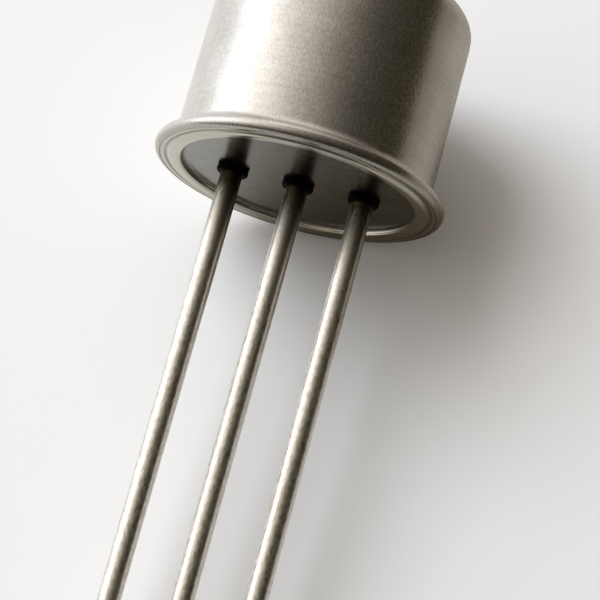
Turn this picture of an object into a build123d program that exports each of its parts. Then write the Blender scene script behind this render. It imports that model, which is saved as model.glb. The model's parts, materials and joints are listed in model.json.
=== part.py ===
from build123d import *
import os
from math import asin, atan2, cos, degrees, hypot, sin, sqrt

# Three-lead metal-can transistor, lying as it comes to rest: on its brim and its lead tips.
# Heights along the can are measured from the seat plane, the flat crown of the ring under the rim.

os.makedirs("parts", exist_ok=True)

# Can: deep-drawn sheet with a bent brim
cap_diameter = 4.95
can_height = 4.1
cap_sheet = 0.19
top_corner_radius = 0.5
brim_bend_radius = 0.22
brim_flat = 0.02

# Header rim: a thin flange under the brim, a groove, and a raised ring round the recess
flange_setback = 0.06
flange_thickness = 0.05
flange_edge_radius = 0.04
rim_width = 0.54
ring_rise = 0.04
groove_depth = 0.02
recess_depth = 0.12
recess_corner_radius = 0.05

# Places across the rim, counted outwards from the recess, as shares of the rim's width
crown_inner_share = 0.2
crown_outer_share = 0.34
groove_inner_share = 0.5
groove_floor_share = 0.56
groove_outer_share = 0.62

# Header platform inside the can
platform_height = 0.75
platform_clearance = 0.06
platform_edge_radius = 0.08

# Leads in one line, each held by a glass seal
lead_pitch = 1.27
lead_diameter = 0.42
lead_length = 16.0
lead_tip_chamfer = 0.04
post_diameter = 0.4
post_height = 0.45
post_edge_radius = 0.03
seal_diameter = 0.58
hole_flare = 0.01
seal_proud = 0.12
seal_bulge = 0.015
seal_lip = 0.06
seal_meniscus = 0.05
bulge_height_share = 0.45

# Chip and its wires
die_side = 0.5
die_thickness = 0.18
die_offset = 1.1
pad_offset = 0.12
attach_margin = 0.04
attach_thickness = 0.025
bond_wire_diameter = 0.04
link_wire_diameter = 0.1
link_foot_offset = 0.8
loop_rise = 0.35
foot_width_share = 1.8
foot_height_share = 0.6
loop_radius_share = 0.45

# One overrun serves all cuts
overrun = 0.5

cap_radius = cap_diameter / 2
brim_edge_radius = cap_sheet / 2
brim_radius = cap_radius + brim_bend_radius + brim_flat + brim_edge_radius
lead_radius = lead_diameter / 2
post_radius = post_diameter / 2
seal_radius = seal_diameter / 2
flare_radius = seal_radius + hole_flare
recess_radius = brim_radius - rim_width
flange_radius = brim_radius - flange_setback

# Heights above the seat plane
seam_height = ring_rise + flange_thickness
brim_top = seam_height + cap_sheet
bend_top = brim_top + brim_bend_radius
collar_end = recess_depth - seal_proud
seal_top = platform_height + seal_meniscus
post_top = platform_height + post_height
attach_top = platform_height + attach_thickness
die_top = attach_top + die_thickness

# Rest pose: a flat surface touches the brim's round edge and the lower corners of the lead tips
tip_corner = lead_length - lead_tip_chamfer
contact_run = seam_height + brim_edge_radius + tip_corner
contact_drop = brim_radius - brim_edge_radius - lead_radius
lie_angle = atan2(contact_drop, contact_run) + asin(brim_edge_radius / hypot(contact_drop, contact_run))
lie_cos = cos(lie_angle)
lie_sin = sin(lie_angle)
seat_rise = lead_radius * lie_cos + tip_corner * lie_sin

# The origin is under the middle of the whole length
top_corner_run = (can_height - top_corner_radius) * lie_cos + (cap_radius - top_corner_radius) * lie_sin
top_reach = top_corner_run + top_corner_radius
tip_reach = lead_length * lie_cos + (lead_radius - lead_tip_chamfer) * lie_sin
seat_origin = Vector(0, (tip_reach - top_reach) / 2, seat_rise)

# The seat plane faces the can's top, and each section plane holds the axis of the can or of one lead
can_direction = Vector(0, lie_cos, lie_sin)
section_normal = Vector(0, -lie_sin, lie_cos)
seat = Plane(origin=seat_origin, x_dir=(1, 0, 0), z_dir=can_direction)
lead_places = {"emitter": -lead_pitch, "base": 0, "collector": lead_pitch}


def section_at(place):
    """Plane through the axis at this place in the row: x is the radius, y the height above the seat."""
    return Plane(origin=seat.from_local_coords((place, 0, 0)), x_dir=(1, 0, 0), z_dir=section_normal)


def axis_at(place):
    """The can's own axis, or the axis of the lead at this place in the row."""
    return Axis(seat.from_local_coords((place, 0, 0)), can_direction)


# The sheet's bend from wall to brim, which the header's shoulder follows inside
bend_centre = (cap_radius + brim_bend_radius, bend_top)
bend_inner_radius = brim_bend_radius + cap_sheet

# Cap: one sheet of constant thickness, drawn into a can and bent out into the brim
with BuildPart() as cap:
    corner_centre = (cap_radius - top_corner_radius, can_height - top_corner_radius)
    edge_line = brim_radius - brim_edge_radius
    with BuildSketch(section_at(0)):
        with BuildLine():
            Line((bend_centre[0], seam_height), (edge_line, seam_height))
            ThreePointArc((edge_line, seam_height), (brim_radius, seam_height + brim_edge_radius),
                          (edge_line, brim_top))
            Line((edge_line, brim_top), (bend_centre[0], brim_top))
            CenterArc(bend_centre, brim_bend_radius, 180, 90)
            Line((cap_radius, bend_top), (cap_radius, corner_centre[1]))
            CenterArc(corner_centre, top_corner_radius, 0, 90)
            Line((corner_centre[0], can_height), (0, can_height))
            Line((0, can_height), (0, can_height - cap_sheet))
            Line((0, can_height - cap_sheet), (corner_centre[0], can_height - cap_sheet))
            CenterArc(corner_centre, top_corner_radius - cap_sheet, 0, 90)
            Line((cap_radius - cap_sheet, corner_centre[1]), (cap_radius - cap_sheet, bend_top))
            CenterArc(bend_centre, bend_inner_radius, 180, 90)
        make_face()
    revolve(axis=axis_at(0))
cap.part.label = "cap"
export_step(cap.part, "parts/cap.step")

# Header: stamped base with a ringed rim, a recess below, a platform above and punched, flared holes
with BuildPart() as header:
    shoulder_radius = bend_inner_radius + platform_clearance
    shoulder_foot = bend_centre[0] - sqrt(shoulder_radius**2 - bend_inner_radius**2)
    shoulder_sweep = degrees(asin(bend_inner_radius / shoulder_radius))
    platform_radius = bend_centre[0] - shoulder_radius
    platform_line = platform_radius - platform_edge_radius
    platform_shoulder = platform_height - platform_edge_radius
    recess_line = recess_radius - recess_corner_radius
    recess_shoulder = recess_depth - recess_corner_radius
    crown_inner = recess_radius + rim_width * crown_inner_share
    crown_outer = recess_radius + rim_width * crown_outer_share
    groove_inner = recess_radius + rim_width * groove_inner_share
    groove_floor = recess_radius + rim_width * groove_floor_share
    groove_outer = recess_radius + rim_width * groove_outer_share
    flange_line = flange_radius - flange_edge_radius
    flange_shoulder = ring_rise + flange_edge_radius
    with BuildSketch(section_at(0)):
        with BuildLine():
            Line((0, recess_depth), (recess_line, recess_depth))
            CenterArc((recess_line, recess_shoulder), recess_corner_radius, 0, 90)
            Line((recess_radius, recess_shoulder), (recess_radius, ring_rise))
            EllipticalCenterArc((crown_inner, ring_rise), crown_inner - recess_radius, ring_rise, 180,
                                arc_size=90)
            Line((crown_inner, 0), (crown_outer, 0))
            TangentArc((crown_outer, 0), (groove_inner, ring_rise), tangent=(1, 0))
            Line((groove_inner, ring_rise), (groove_floor, ring_rise + groove_depth))
            Line((groove_floor, ring_rise + groove_depth), (groove_outer, ring_rise))
            Line((groove_outer, ring_rise), (flange_line, ring_rise))
            CenterArc((flange_line, flange_shoulder), flange_edge_radius, 270, 90)
            Line((flange_radius, flange_shoulder), (flange_radius, seam_height))
            Line((flange_radius, seam_height), (shoulder_foot, seam_height))
            CenterArc(bend_centre, shoulder_radius, 180, shoulder_sweep)
            Line((platform_radius, bend_top), (platform_radius, platform_shoulder))
            CenterArc((platform_line, platform_shoulder), platform_edge_radius, 0, 90)
            Line((platform_line, platform_height), (0, platform_height))
            Line((0, platform_height), (0, recess_depth))
        make_face()
    revolve(axis=axis_at(0))
    overrun_flare = hole_flare * overrun / (platform_height - recess_depth)
    hole_low = (seal_radius - overrun_flare, recess_depth - overrun)
    hole_high = (flare_radius + overrun_flare, platform_height + overrun)
    for place in lead_places.values():
        with BuildSketch(section_at(place)):
            with BuildLine():
                Polyline((0, hole_low[1]), hole_low, hole_high, (0, hole_high[1]), close=True)
            make_face()
        revolve(axis=axis_at(place), mode=Mode.SUBTRACT)
header.part.label = "header"
export_step(header.part, "parts/header.step")

# Leads: round wire, cut with a small chamfer outside, tapering in the seal to a bonding post inside
post_line = post_radius - post_edge_radius
post_shoulder = post_top - post_edge_radius
for lead_name, place in lead_places.items():
    with BuildPart() as lead:
        with BuildSketch(section_at(place)):
            with BuildLine():
                Line((0, -lead_length), (lead_radius - lead_tip_chamfer, -lead_length))
                Line((lead_radius - lead_tip_chamfer, -lead_length), (lead_radius, -tip_corner))
                Line((lead_radius, -tip_corner), (lead_radius, collar_end))
                Line((lead_radius, collar_end), (post_radius, seal_top))
                Line((post_radius, seal_top), (post_radius, post_shoulder))
                CenterArc((post_line, post_shoulder), post_edge_radius, 0, 90)
                Line((post_line, post_top), (0, post_top))
                Line((0, post_top), (0, -lead_length))
            make_face()
        revolve(axis=axis_at(place))
    lead.part.label = f"lead_{lead_name}"
    export_step(lead.part, f"parts/lead_{lead_name}.step")

# Seals: glass tubes that fill the header's holes, bulge into a collar outside and wet the post inside
for lead_name, place in lead_places.items():
    with BuildPart() as seal:
        collar_middle = recess_depth - seal_proud * bulge_height_share
        with BuildSketch(section_at(place)):
            with BuildLine():
                Line((lead_radius, collar_end), (lead_radius + seal_lip, collar_end))
                ThreePointArc((lead_radius + seal_lip, collar_end),
                              (seal_radius + seal_bulge, collar_middle), (seal_radius, recess_depth))
                Line((seal_radius, recess_depth), (flare_radius, platform_height))
                Line((flare_radius, platform_height), (post_radius + seal_lip, seal_top))
                Line((post_radius + seal_lip, seal_top), (post_radius, seal_top))
                Line((post_radius, seal_top), (lead_radius, collar_end))
            make_face()
        revolve(axis=axis_at(place))
    seal.part.label = f"seal_{lead_name}"
    export_step(seal.part, f"parts/seal_{lead_name}.step")

# Die attach: the thin metal layer under the chip
with BuildPart() as die_attach:
    with BuildSketch(seat.offset(platform_height)):
        with Locations((0, -die_offset)):
            Rectangle(die_side + attach_margin + attach_margin, die_side + attach_margin + attach_margin)
    extrude(amount=attach_thickness)
die_attach.part.label = "die_attach"
export_step(die_attach.part, "parts/die_attach.step")

# Die: the silicon chip beside the row of posts
with BuildPart() as die:
    with BuildSketch(seat.offset(attach_top)):
        with Locations((0, -die_offset)):
            Rectangle(die_side, die_side)
    extrude(amount=die_thickness)
die.part.label = "die"
export_step(die.part, "parts/die.step")

# Wires: each rises from its foot, bends over and comes down on a lead post
loop_top = post_top + loop_rise
wires = {
    "bond_wire_emitter": ((-pad_offset, -die_offset), die_top, lead_places["emitter"], bond_wire_diameter),
    "bond_wire_base": ((pad_offset, -die_offset), die_top, lead_places["base"], bond_wire_diameter),
    "collector_link": ((lead_pitch, -link_foot_offset), platform_height, lead_places["collector"],
                       link_wire_diameter),
}
for wire_name, (foot, foot_height, post_place, wire_diameter) in wires.items():
    foot_point = seat.from_local_coords((*foot, 0))
    run = seat.from_local_coords((post_place, 0, 0)) - foot_point
    loop_plane = Plane(origin=foot_point, x_dir=run, z_dir=run.cross(can_direction))
    loop_radius = loop_radius_share * min(loop_top - post_top, run.length)
    with BuildPart() as wire:
        with BuildLine(loop_plane) as loop:
            FilletPolyline((0, foot_height), (0, loop_top), (run.length, loop_top), (run.length, post_top),
                           radius=loop_radius)
        with BuildSketch(seat.offset(foot_height)):
            with Locations(foot):
                Circle(wire_diameter / 2)
        sweep(path=loop.wires()[0])
        for end_height, end_place in ((foot_height, foot), (post_top, (post_place, 0))):
            with BuildSketch(seat.offset(end_height)):
                with Locations(end_place):
                    Circle(wire_diameter * foot_width_share / 2)
            extrude(amount=wire_diameter * foot_height_share)
    wire.part.label = wire_name
    export_step(wire.part, f"parts/{wire_name}.step")
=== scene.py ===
import json
import math

import bpy
from mathutils import Euler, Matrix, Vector


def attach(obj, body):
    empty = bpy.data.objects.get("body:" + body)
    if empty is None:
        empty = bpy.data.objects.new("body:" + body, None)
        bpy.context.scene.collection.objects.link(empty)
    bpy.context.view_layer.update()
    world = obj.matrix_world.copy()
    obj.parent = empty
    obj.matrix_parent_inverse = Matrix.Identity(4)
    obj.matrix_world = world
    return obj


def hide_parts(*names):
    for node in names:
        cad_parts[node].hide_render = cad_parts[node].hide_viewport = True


# Metal-can transistor lying on a pale surface, seen from above its leads.
# The turned pieces are drawn again with fine steps, at the sizes of the CAD solids, and stand for them. Only the weld
# bead and the corner of the recess are a little rounder than the solids.

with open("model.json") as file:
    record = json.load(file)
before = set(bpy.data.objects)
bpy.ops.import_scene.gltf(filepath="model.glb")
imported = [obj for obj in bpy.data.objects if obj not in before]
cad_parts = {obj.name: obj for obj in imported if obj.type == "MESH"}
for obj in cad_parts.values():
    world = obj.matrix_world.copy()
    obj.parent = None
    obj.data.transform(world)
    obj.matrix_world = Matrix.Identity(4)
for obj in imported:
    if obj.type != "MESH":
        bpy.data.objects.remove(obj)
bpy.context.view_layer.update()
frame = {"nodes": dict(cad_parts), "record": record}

# Pieces are drawn upright in millimetres, heights from the seat ring's crown, then laid down with the CAD part
MM = 0.001
mounts = {mount["name"]: mount for mount in frame["record"]["mounts"]}
seat_point = Vector((0, *mounts["seat_ring"]["pos_m"][1:]))
can_axis = Vector(mounts["can_wall"]["axis"])
lie_turn = math.atan2(can_axis.z, can_axis.y) - math.pi / 2

# Can
cap_radius = mounts["can_wall"]["dims"]["r_mm"]
can_height = 4.1
cap_sheet = 0.19
top_corner_radius = 0.5
brim_bend_radius = 0.22
brim_flat = 0.02
brim_radius = cap_radius + brim_bend_radius + brim_flat + cap_sheet / 2

# Header
flange_thickness = 0.05
rim_width = 0.54
ring_rise = 0.04
groove_depth = 0.02
recess_depth = 0.12
recess_corner_radius = 0.078
groove_floor_radius = 0.02
groove_edge_radius = 0.012
flange_edge_radius = 0.01
platform_height = 0.75
platform_clearance = 0.06
platform_edge_radius = 0.08
seam_height = ring_rise + flange_thickness
brim_top = seam_height + cap_sheet
recess_radius = brim_radius - rim_width
crown_inner = recess_radius + rim_width * 0.2
crown_outer = recess_radius + rim_width * 0.34
groove_inner = recess_radius + rim_width * 0.5
groove_floor = recess_radius + rim_width * 0.56
groove_outer = recess_radius + rim_width * 0.62

# Leads and seals
lead_radius = mounts["lead_base_end"]["dims"]["r_mm"]
lead_length = 16.0
lead_tip_chamfer = 0.04
post_radius = 0.2
post_height = 0.45
post_edge_radius = 0.03
seal_radius = 0.29
hole_flare = 0.01
seal_proud = 0.12
seal_bulge = 0.015
seal_lip = 0.06
seal_meniscus = 0.05
seal_waist = recess_depth * 0.75
seal_waist_radius = 0.015
collar_end = recess_depth - seal_proud
seal_top = platform_height + seal_meniscus
post_top = platform_height + post_height
lead_places = {name: mounts[f"lead_{name}_end"]["pos_m"][0] / MM for name in ("base", "emitter", "collector")}

# Fineness of the turned pieces
round_steps = 192
lead_steps = 64
corner_steps = 10
smooth_angle = math.radians(30)
merge_distance = lead_tip_chamfer / 1000


def select_only(piece):
    """Selects one piece and makes it active."""
    bpy.ops.object.select_all(action="DESELECT")
    piece.select_set(True)
    bpy.context.view_layer.objects.active = piece


def curved(centre, across, up, start, end):
    """Points of an outline along part of an ellipse, from one angle to another in degrees."""
    angles = [math.radians(start + (end - start) * i / corner_steps) for i in range(corner_steps + 1)]
    return [(centre[0] + across * math.cos(a), centre[1] + up * math.sin(a)) for a in angles]


def turned(name, outline, steps):
    """A turned piece: traces the outline of (radius, height) points, rounds each corner that has a third number by it,
    and spins the outline about the upright axis."""
    bpy.ops.object.select_all(action="DESELECT")
    bpy.ops.mesh.primitive_plane_add(size=1)
    piece = bpy.context.object
    piece.name = piece.data.name = name
    bpy.ops.object.mode_set(mode="EDIT")
    bpy.ops.mesh.select_mode(type="VERT")
    bpy.ops.mesh.select_all(action="SELECT")
    bpy.ops.mesh.merge(type="CENTER")
    places = [Vector((point[0], 0, point[1])) for point in outline]
    bpy.ops.transform.translate(value=places[0])
    for place, next_place in zip(places, places[1:]):
        bpy.ops.mesh.extrude_region_move(TRANSFORM_OT_translate={"value": next_place - place})
    for place, point in zip(places, outline):
        if len(point) == 3:
            bpy.ops.mesh.select_all(action="DESELECT")
            bpy.ops.object.mode_set(mode="OBJECT")
            min(piece.data.vertices, key=lambda vertex: (vertex.co - place).length).select = True
            bpy.ops.object.mode_set(mode="EDIT")
            bpy.ops.mesh.bevel(offset=point[2], segments=corner_steps, affect="VERTICES", clamp_overlap=False)
    bpy.ops.mesh.select_all(action="SELECT")
    bpy.ops.mesh.spin(steps=steps, angle=math.tau, center=(0, 0, 0), axis=(0, 0, 1))
    bpy.ops.mesh.select_all(action="SELECT")
    bpy.ops.mesh.remove_doubles(threshold=merge_distance)
    bpy.ops.mesh.normals_make_consistent(inside=False)
    bpy.ops.object.mode_set(mode="OBJECT")
    return piece


def lay_down(piece, node, across=0):
    """Lays an upright piece where its CAD solid lies, at a place across the row of leads, and lets it stand for it."""
    select_only(piece)
    bpy.ops.object.shade_smooth_by_angle(angle=smooth_angle)
    piece.scale = (MM, MM, MM)
    piece.rotation_euler = (lie_turn, 0, 0)
    piece.location = seat_point + Vector((across * MM, 0, 0))
    bpy.ops.object.transform_apply(location=True, rotation=True, scale=True)
    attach(piece, "root")
    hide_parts(node)


# The weld rounds the edges of brim and flange into one bead, which stays off the floor with the CAD brim
bead_width = 0.115
bead_low = 0.036
bead_rise = 0.005
bead_inset = 0.006
bead_high = brim_top + bead_rise
bead_line = brim_radius - bead_width - bead_inset
bead_middle = (bead_line, (bead_low + bead_high) / 2)
bend_middle = (cap_radius + brim_bend_radius, brim_top + brim_bend_radius)

# Angles in degrees at which the bend of the brim stops and the bead starts, so that one runs into the other
bend_stop = 262
bead_start = 102

# Cap: outer face down to the bend, round the bead and up the inner face
cap = turned("cap_skin", [
    (0, can_height), (cap_radius, can_height, top_corner_radius),
    *curved(bend_middle, brim_bend_radius, brim_bend_radius, 180, bend_stop),
    *curved(bead_middle, bead_width, (bead_high - bead_low) / 2, bead_start, -90),
    (bead_line, seam_height),
    (cap_radius - cap_sheet, seam_height, brim_bend_radius + cap_sheet),
    (cap_radius - cap_sheet, can_height - cap_sheet, top_corner_radius - cap_sheet), (0, can_height - cap_sheet),
], round_steps)
lay_down(cap, "cap")

# Header: recess, lip and crown of the ring, groove, flange, then the shoulder and platform inside the can
platform_radius = cap_radius - cap_sheet - platform_clearance
ring_curve = ((groove_inner - crown_outer) ** 2 + ring_rise**2) / (2 * ring_rise)
ring_turn = math.degrees(math.asin((groove_inner - crown_outer) / ring_curve))
header = turned("header_skin", [
    (0, recess_depth), (recess_radius, recess_depth, recess_corner_radius),
    *curved((crown_inner, ring_rise), crown_inner - recess_radius, ring_rise, 180, 270),
    *curved((crown_outer, ring_curve), ring_curve, ring_curve, 270, 270 + ring_turn),
    (groove_floor, ring_rise + groove_depth, groove_floor_radius), (groove_outer, ring_rise, groove_edge_radius),
    (bead_line, ring_rise, flange_edge_radius), (bead_line, seam_height),
    (platform_radius, seam_height, brim_bend_radius + cap_sheet + platform_clearance),
    (platform_radius, platform_height, platform_edge_radius), (0, platform_height),
], round_steps)

# Holes for the seals, a little wider inside the can
hole_height = platform_height - recess_depth
for across in lead_places.values():
    bpy.ops.object.select_all(action="DESELECT")
    bpy.ops.mesh.primitive_cone_add(
        vertices=lead_steps, radius1=seal_radius - hole_flare, radius2=seal_radius + 2 * hole_flare,
        depth=3 * hole_height, location=(across, 0, recess_depth + hole_height / 2))
    punch = bpy.context.object
    hole = header.modifiers.new("seal_hole", "BOOLEAN")
    hole.object = punch
    select_only(header)
    bpy.ops.object.modifier_apply(modifier=hole.name)
    bpy.data.objects.remove(punch)
lay_down(header, "header")


def row_of(part, outline):
    """Turns one piece, copies it for each place in the row of leads and lays the row down."""
    first = turned(f"{part}_base_skin", outline, lead_steps)
    row = {"base": first}
    for name in ("emitter", "collector"):
        select_only(first)
        bpy.ops.object.duplicate()
        row[name] = bpy.context.object
        row[name].name = row[name].data.name = f"{part}_{name}_skin"
    for name, piece in row.items():
        lay_down(piece, f"{part}_{name}", lead_places[name])
    return row


# Leads: cut wire outside, a post inside. Seals: a rounded bead outside, a tube through the header.
leads = row_of("lead", [
    (0, -lead_length), (lead_radius - lead_tip_chamfer, -lead_length),
    (lead_radius, lead_tip_chamfer - lead_length), (lead_radius, collar_end), (post_radius, seal_top),
    (post_radius, post_top, post_edge_radius), (0, post_top),
])
seals = row_of("seal", [
    (lead_radius, collar_end), (seal_radius + seal_bulge, collar_end, seal_lip),
    (seal_radius + seal_bulge, seal_waist, seal_waist_radius), (seal_radius, recess_depth),
    (seal_radius + hole_flare, platform_height), (post_radius + seal_lip, seal_top), (post_radius, seal_top),
    (lead_radius, collar_end),
])


def linear(hex_colour):
    """An sRGB hex colour as linear red, green, blue and alpha."""
    shares = [int(hex_colour[i:i + 2], 16) / 255 for i in (1, 3, 5)]
    return (*(s / 12.92 if s <= 0.04045 else ((s + 0.055) / 1.055) ** 2.4 for s in shares), 1)


def add_node(tree, kind, inputs=(), **settings):
    """Adds a node, sets its properties, and sets or links its inputs, named or counted from 0."""
    node = tree.nodes.new(kind)
    for key, value in settings.items():
        setattr(node, key, value)
    for socket, value in dict(inputs).items():
        if isinstance(value, bpy.types.NodeSocket):
            tree.links.new(value, node.inputs[socket])
        else:
            node.inputs[socket].default_value = value
    return node


def new_material(name, colour, **constants):
    """A node material with its Principled shader set to constant values, and the place on the part in millimetres:
    x along the row of leads, z up the can from the seat."""
    material = bpy.data.materials.new(name)
    material.use_nodes = True
    tree = material.node_tree
    shader = tree.nodes["Principled BSDF"]
    shader.inputs["Base Color"].default_value = linear(colour)
    for socket, value in constants.items():
        shader.inputs[socket.replace("_", " ")].default_value = value
    coordinates = add_node(tree, "ShaderNodeTexCoord")
    place = add_node(tree, "ShaderNodeMapping", {
        "Vector": coordinates.outputs["Object"], "Location": seat_point, "Rotation": (lie_turn, 0, 0),
        "Scale": (MM, MM, MM)}, vector_type="TEXTURE")
    return material, tree, shader, place.outputs["Vector"]


# A noise texture keeps mostly between these two values
noise_low = 0.3
noise_high = 0.7

# Satin nickel plate on a drawn can: warm grey metal with a fine tumbled grain, a little longer up the can, faint
# lines round it and broad faint stains. The brim is rubbed smoother than the wall. The lower half of the bead, which
# faces the floor, is painted a duller, warmer grey as painted shade.
grain_mm = 0.035
line_mm = 0.05
stain_mm = 0.9
grain_depth = 0.0016 * MM
speck_share = 0.3
line_share = 0.1
brim_relief = 0.1
painted_bead_shade = 0.7
nickel, tree, shader, place = new_material("satin_nickel_plate", "#cac8c4", Metallic=1)
grain_place = add_node(tree, "ShaderNodeMapping", {"Vector": place, "Scale": (1, 1, 0.6)})
grain = add_node(tree, "ShaderNodeTexNoise", {
    "Vector": grain_place.outputs["Vector"], "Scale": 1 / grain_mm, "Detail": 2, "Roughness": 0.6})
stain = add_node(tree, "ShaderNodeTexNoise", {"Vector": place, "Scale": 1 / stain_mm, "Detail": 4})
line_place = add_node(tree, "ShaderNodeMapping", {"Vector": place, "Scale": (0.03, 0.03, 1)})
lines = add_node(tree, "ShaderNodeTexNoise", {
    "Vector": line_place.outputs["Vector"], "Scale": 1 / line_mm, "Detail": 2})
specks = add_node(tree, "ShaderNodeMapRange", {
    "Value": grain.outputs["Fac"], "From Min": noise_low, "From Max": noise_high, "To Min": -speck_share,
    "To Max": speck_share})
streaked = add_node(tree, "ShaderNodeMapRange", {
    "Value": lines.outputs["Fac"], "From Min": noise_low, "From Max": noise_high, "To Min": -line_share,
    "To Max": line_share})
worn = add_node(tree, "ShaderNodeMath", {
    0: specks.outputs["Result"], 1: streaked.outputs["Result"]}, operation="ADD")
mottle = add_node(tree, "ShaderNodeMath", {
    0: stain.outputs["Fac"], 1: worn.outputs["Value"]}, operation="ADD")
plate_colour = add_node(tree, "ShaderNodeMix", {
    0: mottle.outputs["Value"], 6: linear("#b3b0aa"), 7: linear("#dedcd8")}, data_type="RGBA")
height = add_node(tree, "ShaderNodeSeparateXYZ", {0: place})
# Painted shade: a darker, warmer grey on the lower half of the bead, where it faces the floor
painted_underside_shade = add_node(tree, "ShaderNodeMapRange", {
    "Value": height.outputs["Z"], "From Min": bead_low, "From Max": bead_middle[1], "To Min": painted_bead_shade,
    "To Max": 0}, interpolation_type="SMOOTHSTEP")
colour = add_node(tree, "ShaderNodeMix", {
    0: painted_underside_shade.outputs["Result"], 6: plate_colour.outputs[2], 7: linear("#8c8577")}, data_type="RGBA")
tree.links.new(colour.outputs[2], shader.inputs["Base Color"])
roughness = add_node(tree, "ShaderNodeMapRange", {
    "Value": grain.outputs["Fac"], "From Min": noise_low, "From Max": noise_high, "To Min": 0.2, "To Max": 0.32})
above_brim = add_node(tree, "ShaderNodeMapRange", {
    "Value": height.outputs["Z"], "From Min": brim_top, "From Max": brim_top + 2 * brim_bend_radius,
    "To Min": brim_relief, "To Max": 1})
bump = add_node(tree, "ShaderNodeBump", {
    "Strength": above_brim.outputs["Result"], "Height": grain.outputs["Fac"], "Distance": grain_depth})
tree.links.new(roughness.outputs["Result"], shader.inputs["Roughness"])
tree.links.new(bump.outputs["Normal"], shader.inputs["Normal"])
cap.data.materials.append(nickel)

# Nickel plate on the stamped header: a warm grey nearly as pale as the can on the ringed rim, dulled by the sealing
# furnace in the recess, with faint wavy wiping streaks. Painted shade darkens the groove, the edge by the bead and
# the corner under the lip. The rim and the painted corner shade set in over a short way inside the wall of the
# recess.
streak_mm = 0.12
streak_turn = math.radians(35)
crease_shade_width = 0.05
rim_starts = recess_radius - 0.02
rim_is_full = recess_radius - 0.006
corner_shade_starts = recess_radius - 0.075
corner_shade_is_full = recess_radius - 0.03
stamped_grain_depth = 0.0015 * MM
header_nickel, tree, shader, place = new_material("furnace_dulled_nickel_plate", "#807e78", Metallic=1)
flat_place = add_node(tree, "ShaderNodeMapping", {"Vector": place, "Scale": (1, 1, 0)})
from_axis = add_node(tree, "ShaderNodeVectorMath", {0: flat_place.outputs["Vector"]}, operation="LENGTH")
rim = add_node(tree, "ShaderNodeMapRange", {
    "Value": from_axis.outputs["Value"], "From Min": rim_starts, "From Max": rim_is_full})
# Painted shade in the corner of the recess, under the lip
corner_shade = add_node(tree, "ShaderNodeMapRange", {
    "Value": from_axis.outputs["Value"], "From Min": corner_shade_starts, "From Max": corner_shade_is_full},
    interpolation_type="SMOOTHSTEP")
streak_place = add_node(tree, "ShaderNodeMapping", {
    "Vector": place, "Rotation": (0, 0, streak_turn), "Scale": (0.3, 1, 1)})
streaks = add_node(tree, "ShaderNodeTexNoise", {
    "Vector": streak_place.outputs["Vector"], "Scale": 1 / streak_mm, "Detail": 5, "Distortion": 1.2})
wiped = add_node(tree, "ShaderNodeMapRange", {"Value": streaks.outputs["Fac"], "From Min": 0.2, "From Max": 0.8})
disc_colour = add_node(tree, "ShaderNodeMix", {
    0: wiped.outputs["Result"], 6: linear("#605e58"), 7: linear("#8a8881")}, data_type="RGBA")
disc_with_corner_shade = add_node(tree, "ShaderNodeMix", {
    0: corner_shade.outputs["Result"], 6: disc_colour.outputs[2], 7: linear("#66635d")}, data_type="RGBA")
grain = add_node(tree, "ShaderNodeTexNoise", {
    "Vector": place, "Scale": 1 / grain_mm, "Detail": 2, "Roughness": 0.6})
rim_colour = add_node(tree, "ShaderNodeMix", {
    0: grain.outputs["Fac"], 6: linear("#aaa598"), 7: linear("#beb9ad")}, data_type="RGBA")
past_groove = add_node(tree, "ShaderNodeMath", {
    0: from_axis.outputs["Value"], 1: groove_floor}, operation="SUBTRACT")
from_groove = add_node(tree, "ShaderNodeMath", {0: past_groove.outputs["Value"]}, operation="ABSOLUTE")
# Painted shade in the groove and along the edge by the bead
in_groove = add_node(tree, "ShaderNodeMapRange", {
    "Value": from_groove.outputs["Value"], "From Min": crease_shade_width, "From Max": 0},
    interpolation_type="SMOOTHSTEP")
by_bead = add_node(tree, "ShaderNodeMapRange", {
    "Value": from_axis.outputs["Value"], "From Min": bead_line - crease_shade_width, "From Max": bead_line},
    interpolation_type="SMOOTHSTEP")
crease_shade = add_node(tree, "ShaderNodeMath", {
    0: in_groove.outputs["Result"], 1: by_bead.outputs["Result"]}, operation="MAXIMUM")
ring_colour = add_node(tree, "ShaderNodeMix", {
    0: crease_shade.outputs["Value"], 6: rim_colour.outputs[2], 7: linear("#7a7771")}, data_type="RGBA")
colour = add_node(tree, "ShaderNodeMix", {
    0: rim.outputs["Result"], 6: disc_with_corner_shade.outputs[2], 7: ring_colour.outputs[2]}, data_type="RGBA")
roughness = add_node(tree, "ShaderNodeMapRange", {
    "Value": streaks.outputs["Fac"], "From Min": noise_low, "From Max": noise_high, "To Min": 0.17, "To Max": 0.25})
bump = add_node(tree, "ShaderNodeBump", {"Height": grain.outputs["Fac"], "Distance": stamped_grain_depth})
tree.links.new(colour.outputs[2], shader.inputs["Base Color"])
tree.links.new(roughness.outputs["Result"], shader.inputs["Roughness"])
tree.links.new(bump.outputs["Normal"], shader.inputs["Normal"])
header.data.materials.append(header_nickel)

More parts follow.
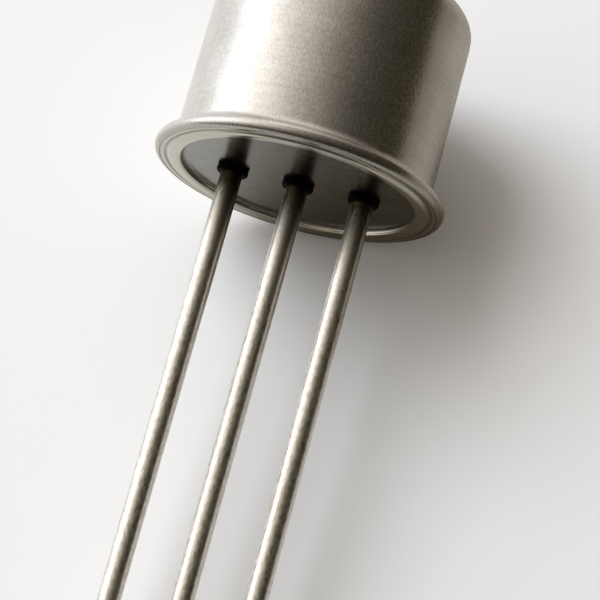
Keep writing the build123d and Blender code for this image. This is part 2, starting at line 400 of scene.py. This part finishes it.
# Hot-tinned drawn wire: pale and bright with a warm cast, faint draw lines along it, a rippled skin where the tin
# set unevenly and brownish specks where it is thin. Next to the glass it turns dark brown: partly the furnace's
# tarnish, partly painted shade.
draw_line_mm = 0.03
speck_mm = 0.05
ripple_run_mm = 0.11
tarnish_and_shade_run = 2.1
tarnish_and_shade_level = 0.75
tarnish_and_shade_raggedness = 0.5
ripple_share = 1.2
relief_depth = 0.0016 * MM
tinned, tree, shader, place = new_material("tinned_lead_wire", "#cbc5b8", Metallic=1)
line_place = add_node(tree, "ShaderNodeMapping", {"Vector": place, "Scale": (1, 1, 0.02)})
lines = add_node(tree, "ShaderNodeTexNoise", {
    "Vector": line_place.outputs["Vector"], "Scale": 1 / draw_line_mm, "Detail": 3})
speck_place = add_node(tree, "ShaderNodeMapping", {"Vector": place, "Scale": (1, 1, 0.4)})
specks = add_node(tree, "ShaderNodeTexNoise", {
    "Vector": speck_place.outputs["Vector"], "Scale": 1 / speck_mm, "Detail": 3, "Roughness": 0.65})
ripples = add_node(tree, "ShaderNodeTexNoise", {
    "Vector": speck_place.outputs["Vector"], "Scale": 1 / ripple_run_mm, "Detail": 4, "Roughness": 0.6})
thin_tin = add_node(tree, "ShaderNodeMapRange", {
    "Value": specks.outputs["Fac"], "From Min": 0.35, "From Max": 0.6})
bright = add_node(tree, "ShaderNodeMix", {
    0: thin_tin.outputs["Result"], 6: linear("#c5c0b3"), 7: linear("#ebe9e4")}, data_type="RGBA")
height = add_node(tree, "ShaderNodeSeparateXYZ", {0: place})
# Dark brown next to the glass: tarnish and painted shade together
near_glass = add_node(tree, "ShaderNodeMapRange", {
    "Value": height.outputs["Z"], "From Min": -tarnish_and_shade_run, "From Max": 0, "To Max": tarnish_and_shade_level})
ragged = add_node(tree, "ShaderNodeMath", {
    0: specks.outputs["Fac"], 1: tarnish_and_shade_raggedness, 2: near_glass.outputs["Result"]}, operation="MULTIPLY_ADD")
tarnish_and_shade = add_node(tree, "ShaderNodeMapRange", {
    "Value": ragged.outputs["Value"], "From Min": 0.45, "From Max": 0.95})
colour = add_node(tree, "ShaderNodeMix", {
    0: tarnish_and_shade.outputs["Result"], 6: bright.outputs[2], 7: linear("#4b4432")}, data_type="RGBA")
roughness = add_node(tree, "ShaderNodeMapRange", {
    "Value": specks.outputs["Fac"], "From Min": noise_low, "From Max": noise_high, "To Min": 0.26, "To Max": 0.42})
relief = add_node(tree, "ShaderNodeMath", {
    0: ripples.outputs["Fac"], 1: ripple_share, 2: lines.outputs["Fac"]}, operation="MULTIPLY_ADD")
bump = add_node(tree, "ShaderNodeBump", {"Height": relief.outputs["Value"], "Distance": relief_depth})
tree.links.new(colour.outputs[2], shader.inputs["Base Color"])
tree.links.new(roughness.outputs["Result"], shader.inputs["Roughness"])
tree.links.new(bump.outputs["Normal"], shader.inputs["Normal"])

# Fused black glass: deep black with a soft fire-polished skin that is a little uneven
ripple_mm = 0.15
ripple_depth = 0.006 * MM
glass, tree, shader, place = new_material("black_sealing_glass", "#030303", Specular_IOR_Level=0.02)
ripple = add_node(tree, "ShaderNodeTexNoise", {"Vector": place, "Scale": 1 / ripple_mm, "Detail": 3})
tint = add_node(tree, "ShaderNodeMix", {
    0: ripple.outputs["Fac"], 6: linear("#020202"), 7: linear("#050504")}, data_type="RGBA")
roughness = add_node(tree, "ShaderNodeMapRange", {
    "Value": ripple.outputs["Fac"], "From Min": noise_low, "From Max": noise_high, "To Min": 0.4, "To Max": 0.6})
bump = add_node(tree, "ShaderNodeBump", {"Height": ripple.outputs["Fac"], "Distance": ripple_depth})
tree.links.new(tint.outputs[2], shader.inputs["Base Color"])
tree.links.new(roughness.outputs["Result"], shader.inputs["Roughness"])
tree.links.new(bump.outputs["Normal"], shader.inputs["Normal"])
for name in lead_places:
    leads[name].data.materials.append(tinned)
    seals[name].data.materials.append(glass)

# Inside the can. Polished silicon: dark blue-grey mirror with faint patches of oxide.
patch_mm = 0.08
silicon, tree, shader, place = new_material("polished_silicon", "#4a4c55", Metallic=0.8)
patches = add_node(tree, "ShaderNodeTexVoronoi", {"Vector": place, "Scale": 1 / patch_mm}, distance="CHEBYCHEV")
colour = add_node(tree, "ShaderNodeMix", {
    0: patches.outputs["Distance"], 6: linear("#42444f"), 7: linear("#5a5660")}, data_type="RGBA")
roughness = add_node(tree, "ShaderNodeMapRange", {
    "Value": patches.outputs["Distance"], "To Min": 0.08, "To Max": 0.2})
tree.links.new(colour.outputs[2], shader.inputs["Base Color"])
tree.links.new(roughness.outputs["Result"], shader.inputs["Roughness"])

# Gold-silicon joint: melted and set, warm yellow with dull grains
clot_mm = 0.03
joint, tree, shader, place = new_material("gold_silicon_joint", "#c99f52", Metallic=1)
clots = add_node(tree, "ShaderNodeTexNoise", {"Vector": place, "Scale": 1 / clot_mm, "Detail": 3})
colour = add_node(tree, "ShaderNodeMix", {
    0: clots.outputs["Fac"], 6: linear("#a98647"), 7: linear("#dcb565")}, data_type="RGBA")
roughness = add_node(tree, "ShaderNodeMapRange", {"Value": clots.outputs["Fac"], "To Min": 0.2, "To Max": 0.5})
tree.links.new(colour.outputs[2], shader.inputs["Base Color"])
tree.links.new(roughness.outputs["Result"], shader.inputs["Roughness"])

# Drawn aluminium wire: pale cool metal with a fine dull mottle from drawing
mottle_mm = 0.02
wire, tree, shader, place = new_material("drawn_aluminium_wire", "#cccdcf", Metallic=1)
mottle = add_node(tree, "ShaderNodeTexNoise", {"Vector": place, "Scale": 1 / mottle_mm, "Detail": 2})
colour = add_node(tree, "ShaderNodeMix", {
    0: mottle.outputs["Fac"], 6: linear("#bdbec1"), 7: linear("#dadbdc")}, data_type="RGBA")
roughness = add_node(tree, "ShaderNodeMapRange", {"Value": mottle.outputs["Fac"], "To Min": 0.2, "To Max": 0.4})
tree.links.new(colour.outputs[2], shader.inputs["Base Color"])
tree.links.new(roughness.outputs["Result"], shader.inputs["Roughness"])

inner_finishes = {"die": silicon, "die_attach": joint, "bond_wire_emitter": wire, "bond_wire_base": wire,
                  "collector_link": wire}
for node, finish in inner_finishes.items():
    frame["nodes"][node].data.materials.clear()
    frame["nodes"][node].data.materials.append(finish)

# Pale paper on a table: matt, neutral and even to the camera. In reflections on metal only, its colour is painted:
# painted light paler towards the window, painted shade far in front, and a warm painted shadow by the can and to the
# right. Reaches are in millimetres, from the edge where each change starts to the edge where it is full: x to the
# right, y away from the lead tips.
floor_size = 1.2
window_x = (0, -7)
painted_light_gain = 1.28
front_y = (-4, -25)
painted_front_shade = 0.15
by_can_y = (3.5, 5)
by_can_x = (-3, 1)
past_brim_y = (6, 8)
past_brim_share = 0.7
right_x = (1, 14)
right_share = 0.9
paper_tone = linear("#f8f8f8")
reflected_tone = linear("#f2f2f1")
shaded_tone = linear("#9d9382")
bpy.ops.object.select_all(action="DESELECT")
bpy.ops.mesh.primitive_plane_add(size=floor_size)
floor = bpy.context.object
floor.name = "floor"
paper = bpy.data.materials.new("pale_paper")
paper.use_nodes = True
tree = paper.node_tree
shader = tree.nodes["Principled BSDF"]
shader.inputs["Roughness"].default_value = 0.9
shader.inputs["Specular IOR Level"].default_value = 0
place = add_node(tree, "ShaderNodeTexCoord")
spot = add_node(tree, "ShaderNodeSeparateXYZ", {0: place.outputs["Object"]})
# Painted light and painted shade, seen only in reflections: paler towards the window, dimmer far in front
window_side = add_node(tree, "ShaderNodeMapRange", {
    "Value": spot.outputs["X"], "From Min": window_x[1] * MM, "From Max": window_x[0] * MM, "To Min": painted_light_gain,
    "To Max": 1})
in_front = add_node(tree, "ShaderNodeMapRange", {
    "Value": spot.outputs["Y"], "From Min": front_y[1] * MM, "From Max": front_y[0] * MM, "To Min": painted_front_shade,
    "To Max": 1})
beside_can = add_node(tree, "ShaderNodeMapRange", {
    "Value": spot.outputs["Y"], "From Min": by_can_y[0] * MM, "From Max": by_can_y[1] * MM},
    interpolation_type="SMOOTHSTEP")
past_brim = add_node(tree, "ShaderNodeMapRange", {
    "Value": spot.outputs["Y"], "From Min": past_brim_y[0] * MM, "From Max": past_brim_y[1] * MM, "To Min": 1,
    "To Max": past_brim_share})
shaded_side = add_node(tree, "ShaderNodeMapRange", {
    "Value": spot.outputs["X"], "From Min": by_can_x[0] * MM, "From Max": by_can_x[1] * MM},
    interpolation_type="SMOOTHSTEP")
under_can = add_node(tree, "ShaderNodeMath", {
    0: beside_can.outputs["Result"], 1: shaded_side.outputs["Result"]}, operation="MULTIPLY")
near_shade = add_node(tree, "ShaderNodeMath", {
    0: under_can.outputs["Value"], 1: past_brim.outputs["Result"]}, operation="MULTIPLY")
far_right = add_node(tree, "ShaderNodeMapRange", {
    "Value": spot.outputs["X"], "From Min": right_x[0] * MM, "From Max": right_x[1] * MM, "To Max": right_share},
    interpolation_type="SMOOTHSTEP")
shade = add_node(tree, "ShaderNodeMath", {
    0: near_shade.outputs["Value"], 1: far_right.outputs["Result"]}, operation="MAXIMUM")
# Painted shadow, seen only in reflections: a warm darker tone by the can and to the right
side_colour = add_node(tree, "ShaderNodeMix", {
    0: shade.outputs["Value"], 6: reflected_tone, 7: shaded_tone}, data_type="RGBA")
dimming = add_node(tree, "ShaderNodeMath", {
    0: window_side.outputs["Result"], 1: in_front.outputs["Result"]}, operation="MULTIPLY")
ray = add_node(tree, "ShaderNodeLightPath")
reflected = add_node(tree, "ShaderNodeVectorMath", {
    0: side_colour.outputs[2], "Scale": dimming.outputs["Value"]}, operation="SCALE")
shown = add_node(tree, "ShaderNodeMix", {
    0: ray.outputs["Is Glossy Ray"], 6: paper_tone, 7: reflected.outputs["Vector"]}, data_type="RGBA")
tree.links.new(shown.outputs[2], shader.inputs["Base Color"])
floor.data.materials.append(paper)

# Softbox high on the left, a little behind the can
key_size = 115 * MM
key_distance = 160 * MM
key_side = Vector((-0.75, 0.27, 1)).normalized()
key_data = bpy.data.lights.new("key_softbox", "AREA")
key_data.shape = "DISK"
key_data.size = key_size
key_data.energy = 0.16
key_data.color = linear("#f1f7ff")[:3]
key = bpy.data.objects.new("key_softbox", key_data)
bpy.context.scene.collection.objects.link(key)
key.location = key_side * key_distance + seat_point
key.rotation_euler = key_side.to_track_quat("Z", "Y").to_euler()
key.visible_glossy = False

# Room: a tall soft window on the left, drawn as a low and a high glow, and a fainter one behind, in a dim warm room
# Each glow has its turn from the right, its height in degrees, its level, its narrowness and its colour
glows = [(170, 8, 2.15, 6, "#f2f7ff"), (180, 45, 1.02, 4.5, "#fff4e7"), (108, 29, 1.0, 7.5, "#fff6ec")]
world = bpy.data.worlds.new("studio")
bpy.context.scene.world = world
world.use_nodes = True
tree = world.node_tree
dim_room = tree.nodes["Background"]
dim_room.inputs["Color"].default_value = linear("#363124")
direction = add_node(tree, "ShaderNodeTexCoord")
room = dim_room.outputs["Background"]
for turn, height, level, narrowness, tint in glows:
    middle = Euler((0, -math.radians(height), math.radians(turn))).to_matrix() @ Vector((1, 0, 0))
    towards = add_node(tree, "ShaderNodeVectorMath", {
        0: direction.outputs["Generated"], 1: middle}, operation="DOT_PRODUCT")
    fall = add_node(tree, "ShaderNodeMath", {
        0: towards.outputs["Value"], 1: narrowness, 2: math.log(level) - narrowness}, operation="MULTIPLY_ADD")
    strength = add_node(tree, "ShaderNodeMath", {0: fall.outputs["Value"]}, operation="EXPONENT")
    glow = add_node(tree, "ShaderNodeBackground", {"Color": linear(tint), "Strength": strength.outputs["Value"]})
    room = add_node(tree, "ShaderNodeAddShader", {0: room, 1: glow.outputs["Background"]}).outputs["Shader"]
ray = add_node(tree, "ShaderNodeLightPath")
backdrop = add_node(tree, "ShaderNodeBackground", {"Color": linear("#ececec")})
shown = add_node(tree, "ShaderNodeMixShader", {
    0: ray.outputs["Is Camera Ray"], 1: room, 2: backdrop.outputs["Background"]})
tree.links.new(shown.outputs["Shader"], tree.nodes["World Output"].inputs["Surface"])

# Camera: level, looking down past the lead tips
focal_px = 2000
image_px = 600
px_per_mm = 53.483
camera_azimuth = math.radians(-15.025)
camera_elevation = math.radians(65.242)
aim_point = Vector((0.560, 3.876, 2.0))
camera_data = bpy.data.cameras.new("camera")
camera_data.lens = camera_data.sensor_width * focal_px / image_px
camera_data.clip_start = MM
camera_data.clip_end = 10
camera = bpy.data.objects.new("camera", camera_data)
bpy.context.scene.collection.objects.link(camera)
outward = Vector((-math.sin(camera_azimuth) * math.cos(camera_elevation),
                  -math.cos(camera_azimuth) * math.cos(camera_elevation), math.sin(camera_elevation)))
camera.location = (aim_point + outward * focal_px / px_per_mm) * MM
camera.rotation_euler = outward.to_track_quat("Z", "Y").to_euler()
bpy.context.scene.camera = camera
bpy.context.scene.view_settings.view_transform = "Standard"
